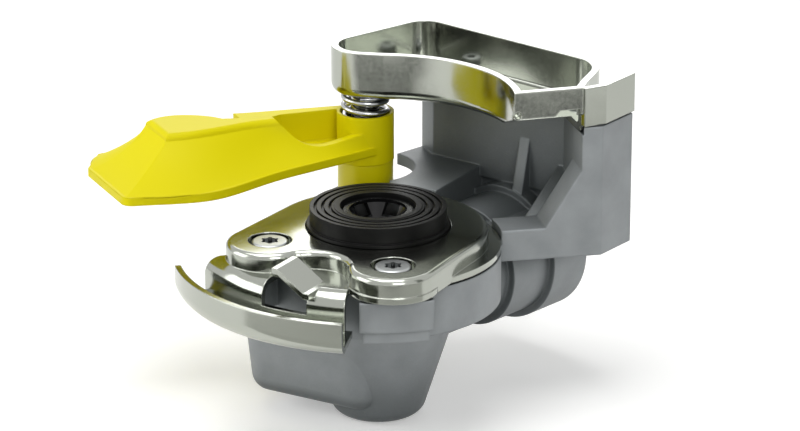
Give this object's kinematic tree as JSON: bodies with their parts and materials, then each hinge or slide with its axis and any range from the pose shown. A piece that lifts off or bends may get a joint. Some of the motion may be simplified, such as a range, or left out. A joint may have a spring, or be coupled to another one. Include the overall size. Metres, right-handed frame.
{
  "type": "air brake coupling head",
  "caption": "Palm coupling head for a trailer air line, with a face seal, sprung shut-off valve, guide rail, claw tray and a swinging sprung lid.",
  "frame": {"origin": "centre of the seal ring's front face, uncoupled", "axes": "+Z out of the seal face along the seal axis, -Y to the middle of the guide rail, +Y to the claw wall"},
  "size_m": [0.1273, 0.1181, 0.085],
  "materials": {
    "cast_alloy": "matt die cast skin",
    "plated_sheet": "bright smooth plated sheet",
    "screw_steel": "bright plated",
    "spring_steel": "drawn wire",
    "polished_steel": "polished",
    "seat_brass": "turned",
    "black_rubber": "smooth moulded",
    "black_plastic": "smooth moulded",
    "yellow_plastic": "satin moulded"
  },
  "bodies": {
    "head": {"coupling_body": "cast_alloy", "cover_plate": "plated_sheet", "cover_screws": "screw_steel", "cover_gasket": "black_rubber", "claw_tray": "plated_sheet", "tray_screws": "screw_steel", "pivot_post": "polished_steel", "pivot_pin": "polished_steel", "pin_circlip": "spring_steel", "valve_seat": "seat_brass", "seat_o_ring": "black_rubber", "valve_spring": "spring_steel", "lid_spring": "spring_steel"},
    "lift": {"spring_washer": "screw_steel"},
    "lid": {"lid": "yellow_plastic", "lid_bush": "black_plastic"},
    "plunger": {"seal_ring": "black_rubber", "seal_carrier": "cast_alloy", "carrier_o_ring": "black_rubber", "valve_plunger": "black_plastic", "valve_stem": "black_plastic", "valve_disc": "black_rubber", "spring_cup": "screw_steel"}
  },
  "joints": [
    {"name": "lid_lift", "type": "slide", "parent": "head", "child": "lift", "axis": [0, 0, 1], "range_m": [0, 0.0036], "stiffness_N_per_m": 2000, "springref_m": -0.004, "deforming": ["lid_spring"]},
    {"name": "lid_turn", "type": "hinge", "parent": "lift", "child": "lid", "pos_m": [-0.02538, 0.03679, 0], "axis": [0, 0, 1], "range_deg": [-40, 69.6]},
    {"name": "valve_press", "type": "slide", "parent": "head", "child": "plunger", "axis": [0, 0, -1], "range_m": [0, 0.004], "stiffness_N_per_m": 1500, "springref_m": -0.005, "deforming": ["valve_spring"]}
  ]
}
